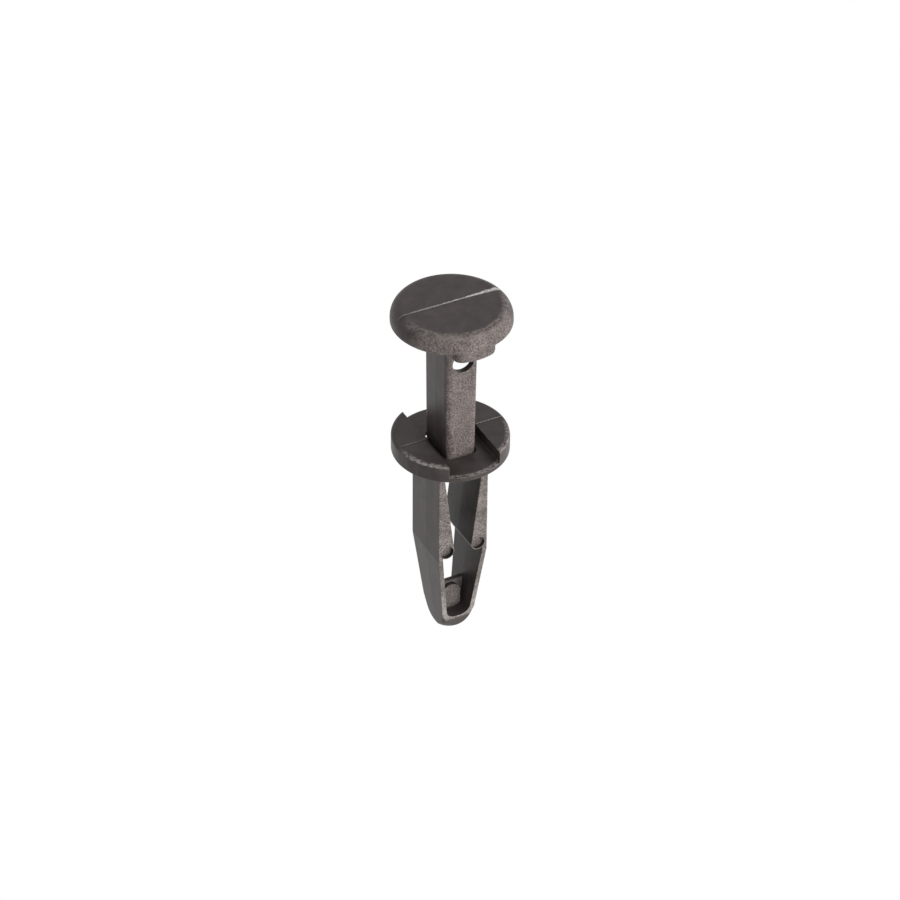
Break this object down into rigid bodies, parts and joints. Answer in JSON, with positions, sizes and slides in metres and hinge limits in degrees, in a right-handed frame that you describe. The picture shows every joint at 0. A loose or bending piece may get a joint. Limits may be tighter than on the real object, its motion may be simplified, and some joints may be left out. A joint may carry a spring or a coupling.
{
  "type": "push-in trim fastener",
  "caption": "Plastic push-in fastener: a round-headed pin slides into a flanged split body and spreads its two legs behind a panel to clamp trim in place.",
  "frame": {"origin": "centre of the head's flat top, on which the fastener stands", "axes": "+Z along the pin from its head to the body's tip, X from leg to leg, -Y the front"},
  "size_m": [0.0144, 0.0144, 0.0478],
  "materials": {
    "pin_plastic": "matte",
    "body_plastic": "matte"
  },
  "bodies": {
    "body": {"split_body": "body_plastic"},
    "pin": {"push_pin": "pin_plastic"}
  },
  "joints": [
    {"name": "pin_push", "type": "slide", "parent": "body", "child": "pin", "axis": [0, 0, 1], "range_m": [0, 0.0162], "deforming": ["split_body"]}
  ]
}
